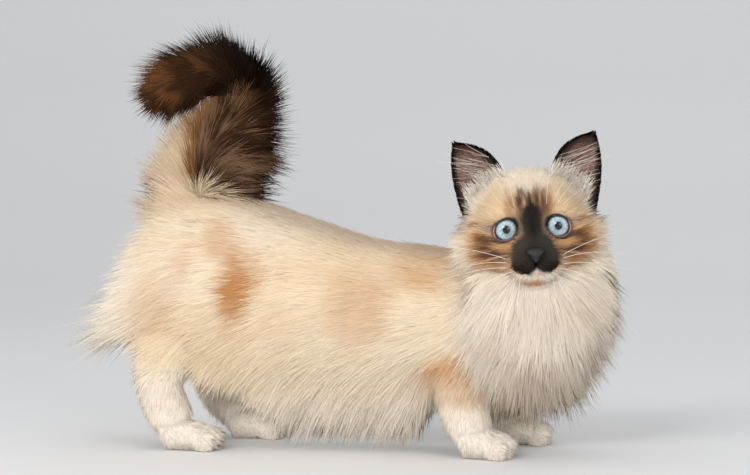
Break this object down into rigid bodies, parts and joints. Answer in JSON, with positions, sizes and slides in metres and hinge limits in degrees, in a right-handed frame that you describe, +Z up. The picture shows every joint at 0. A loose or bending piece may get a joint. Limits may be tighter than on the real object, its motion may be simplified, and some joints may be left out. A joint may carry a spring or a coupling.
{
  "type": "munchkin cat",
  "caption": "Life-size still model of a standing long-haired munchkin cat with short legs, its head turned to one side and its tail raised and hooked.",
  "frame": {"origin": "on the floor, below the middle of the cat's box", "axes": "+X along the spine towards the shoulders, +Y to the cat's left, +Z up"},
  "size_m": [0.4076, 0.156, 0.3121],
  "materials": {
    "cream_coat": "long soft fur, cream with fawn and ginger patches",
    "white_coat": "soft white fur",
    "face_coat": "short fur, fawn with a dark brown mask",
    "seal_coat": "dark brown fur",
    "nose_leather": "moist dark nose leather",
    "eye": "wet pale blue eye with a dark pupil"
  },
  "bodies": {
    "root": {"torso": "cream_coat", "neck": "white_coat", "head": "face_coat", "nose": "nose_leather", "eye_right": "eye", "eye_left": "eye", "ear_right": "seal_coat", "ear_left": "seal_coat", "foreleg_right": "white_coat", "foreleg_left": "white_coat", "hindleg_right": "white_coat", "hindleg_left": "white_coat", "tail_base": "cream_coat", "tail_middle": "seal_coat", "tail_tip": "seal_coat"}
  },
  "joints": []
}
